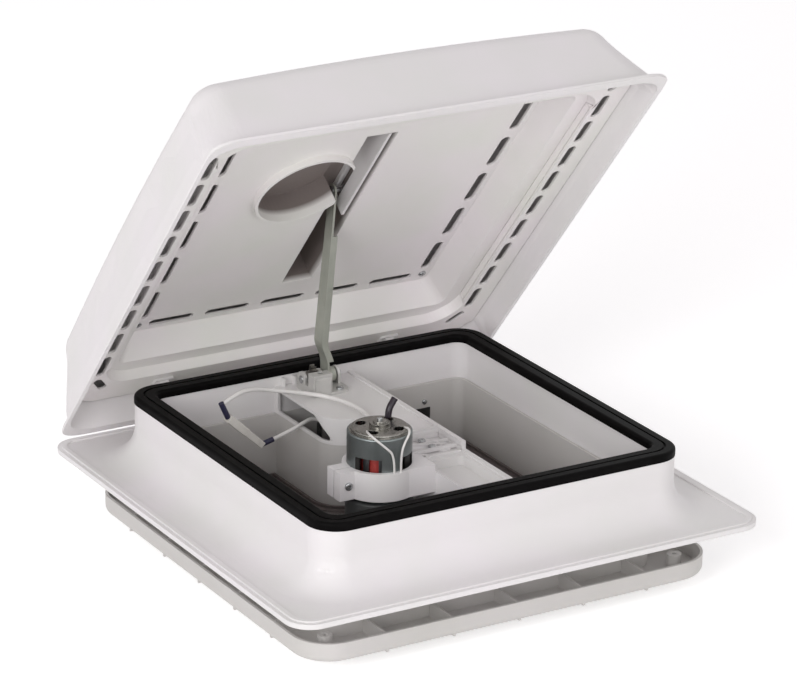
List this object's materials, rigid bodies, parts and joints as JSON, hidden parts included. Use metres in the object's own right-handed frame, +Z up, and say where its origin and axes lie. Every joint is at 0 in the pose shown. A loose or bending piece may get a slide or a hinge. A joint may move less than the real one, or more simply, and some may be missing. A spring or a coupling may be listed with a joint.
{
  "type": "caravan roof vent",
  "caption": "Square white caravan roof vent, lid open on a strip arm, with black seal, fan motor on a bridge, screen and ceiling trim.",
  "frame": {"origin": "centre of the square roof opening, on the roof's outer face where the flange lies", "axes": "+Z up out of the roof, +Y towards the hinge at the rear, +X along the front to the right seen from the front"},
  "size_m": [0.5052, 0.5467, 0.5042],
  "materials": {
    "white_plastic": "moulded off-white ABS, satin",
    "black_rubber": "black EPDM, slightly glossy",
    "dark_plastic": "dark grey moulded plastic",
    "bright_steel": "bright zinc plated steel",
    "motor_steel": "plated sheet steel, fine grain",
    "cast_metal": "die-cast zinc alloy",
    "arm_steel": "grey-green plated steel strip",
    "copper": "red enamelled copper wire",
    "cable_white": "white soft plastic sheath",
    "sleeve_dark": "dark heat-shrink sleeve"
  },
  "bodies": {
    "base": {"roof_base": "white_plastic", "rim_seal": "black_rubber", "ceiling_trim": "white_plastic", "screen_frame": "dark_plastic", "screen_mesh": "dark_plastic", "motor_bridge": "white_plastic", "bridge_screws": "bright_steel", "motor_can": "motor_steel", "motor_end_cap": "cast_metal", "motor_magnets": "motor_steel", "motor_clamp": "white_plastic", "clamp_screw": "bright_steel", "lift_housing": "cast_metal", "housing_screws": "bright_steel", "hinge_pins": "bright_steel", "switch_body": "dark_plastic", "port_cover": "dark_plastic", "port_screw": "bright_steel", "loop_cable": "cable_white", "tail_cable": "cable_white", "motor_leads": "cable_white", "heat_shrink_sleeve": "sleeve_dark", "crimp_sleeve": "sleeve_dark", "lead_sleeve": "sleeve_dark", "connector_plug": "cable_white", "connector_socket": "cable_white"},
    "lid": {"lid_dome": "white_plastic", "lid_liner": "white_plastic", "liner_screws": "bright_steel", "arm_guide": "white_plastic", "guide_screws": "bright_steel", "lid_hinge_lugs": "white_plastic"},
    "arm": {"lift_arm": "arm_steel", "arm_end_pin": "bright_steel", "pivot_shaft": "bright_steel", "sector_gear": "bright_steel"},
    "crank": {"lift_worm": "bright_steel", "crank_shaft": "bright_steel", "crank_knob": "dark_plastic"},
    "fan": {"fan_impeller": "dark_plastic", "motor_shaft": "bright_steel", "rotor_core": "motor_steel", "rotor_winding": "copper", "commutator": "copper", "fan_nut": "bright_steel"},
    "rocker": {"switch_rocker": "dark_plastic"}
  },
  "joints": [
    {"name": "lid_hinge", "type": "hinge", "parent": "base", "child": "lid", "pos_m": [0, 0.2233, 0.027], "axis": [1, 0, 0], "range_deg": [0, 49.9]},
    {"name": "arm_pivot", "type": "hinge", "parent": "base", "child": "arm", "pos_m": [0, 0.156, 0.062], "axis": [1, 0, 0], "range_deg": [0, 70.7]},
    {"name": "crank_turn", "type": "hinge", "parent": "base", "child": "crank", "pos_m": [-0.011, 0.13775, -0.064], "axis": [0, 0, 1], "range_deg": [0, 1560]},
    {"name": "fan_spin", "type": "hinge", "parent": "base", "child": "fan", "pos_m": [-0.057, -0.057, 0], "axis": [0, 0, 1], "continuous": true},
    {"name": "switch_throw", "type": "hinge", "parent": "base", "child": "rocker", "pos_m": [0.008, 0.092, -0.053], "axis": [0, 1, 0], "range_deg": [-8, 8]}
  ],
  "couplings": [
    {"joint": "arm_pivot", "follows": "lid_hinge", "ratio": 1.415},
    {"joint": "crank_turn", "follows": "lid_hinge", "ratio": 31.13}
  ]
}
